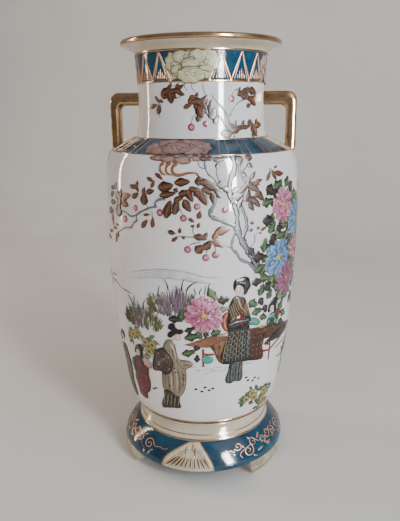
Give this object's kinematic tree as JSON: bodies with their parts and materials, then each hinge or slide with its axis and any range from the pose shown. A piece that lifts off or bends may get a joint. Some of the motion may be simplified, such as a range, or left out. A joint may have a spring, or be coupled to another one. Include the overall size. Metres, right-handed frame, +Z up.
{
  "type": "porcelain vase",
  "caption": "Tall glazed porcelain vase: barrel body, upright neck with out-turned rim, squared gilt handles, flared foot ring on a bulging plinth with bracket feet.",
  "frame": {"origin": "centre of the footprint, on the surface the feet stand on", "axes": "+Z up, +X to the right-hand handle, -Y is the front with the painted scene"},
  "size_m": [0.1366, 0.1366, 0.304],
  "materials": {
    "white_glaze": "clear gloss glaze over white porcelain",
    "cream_glaze": "gloss cream glaze",
    "teal_enamel": "mottled blue-green enamel, gloss",
    "gilding": "fired gold lustre on glaze, slightly rubbed",
    "painted_enamel": "raised overglaze enamel in many colours"
  },
  "bodies": {
    "root": {"plinth": "teal_enamel", "foot_left": "cream_glaze", "foot_right": "cream_glaze", "foot_back": "cream_glaze", "foot_ring": "cream_glaze", "floor": "white_glaze", "body": "white_glaze", "shoulder": "teal_enamel", "neck": "white_glaze", "rim": "cream_glaze", "handle_left": "gilding", "handle_right": "gilding"}
  },
  "joints": []
}
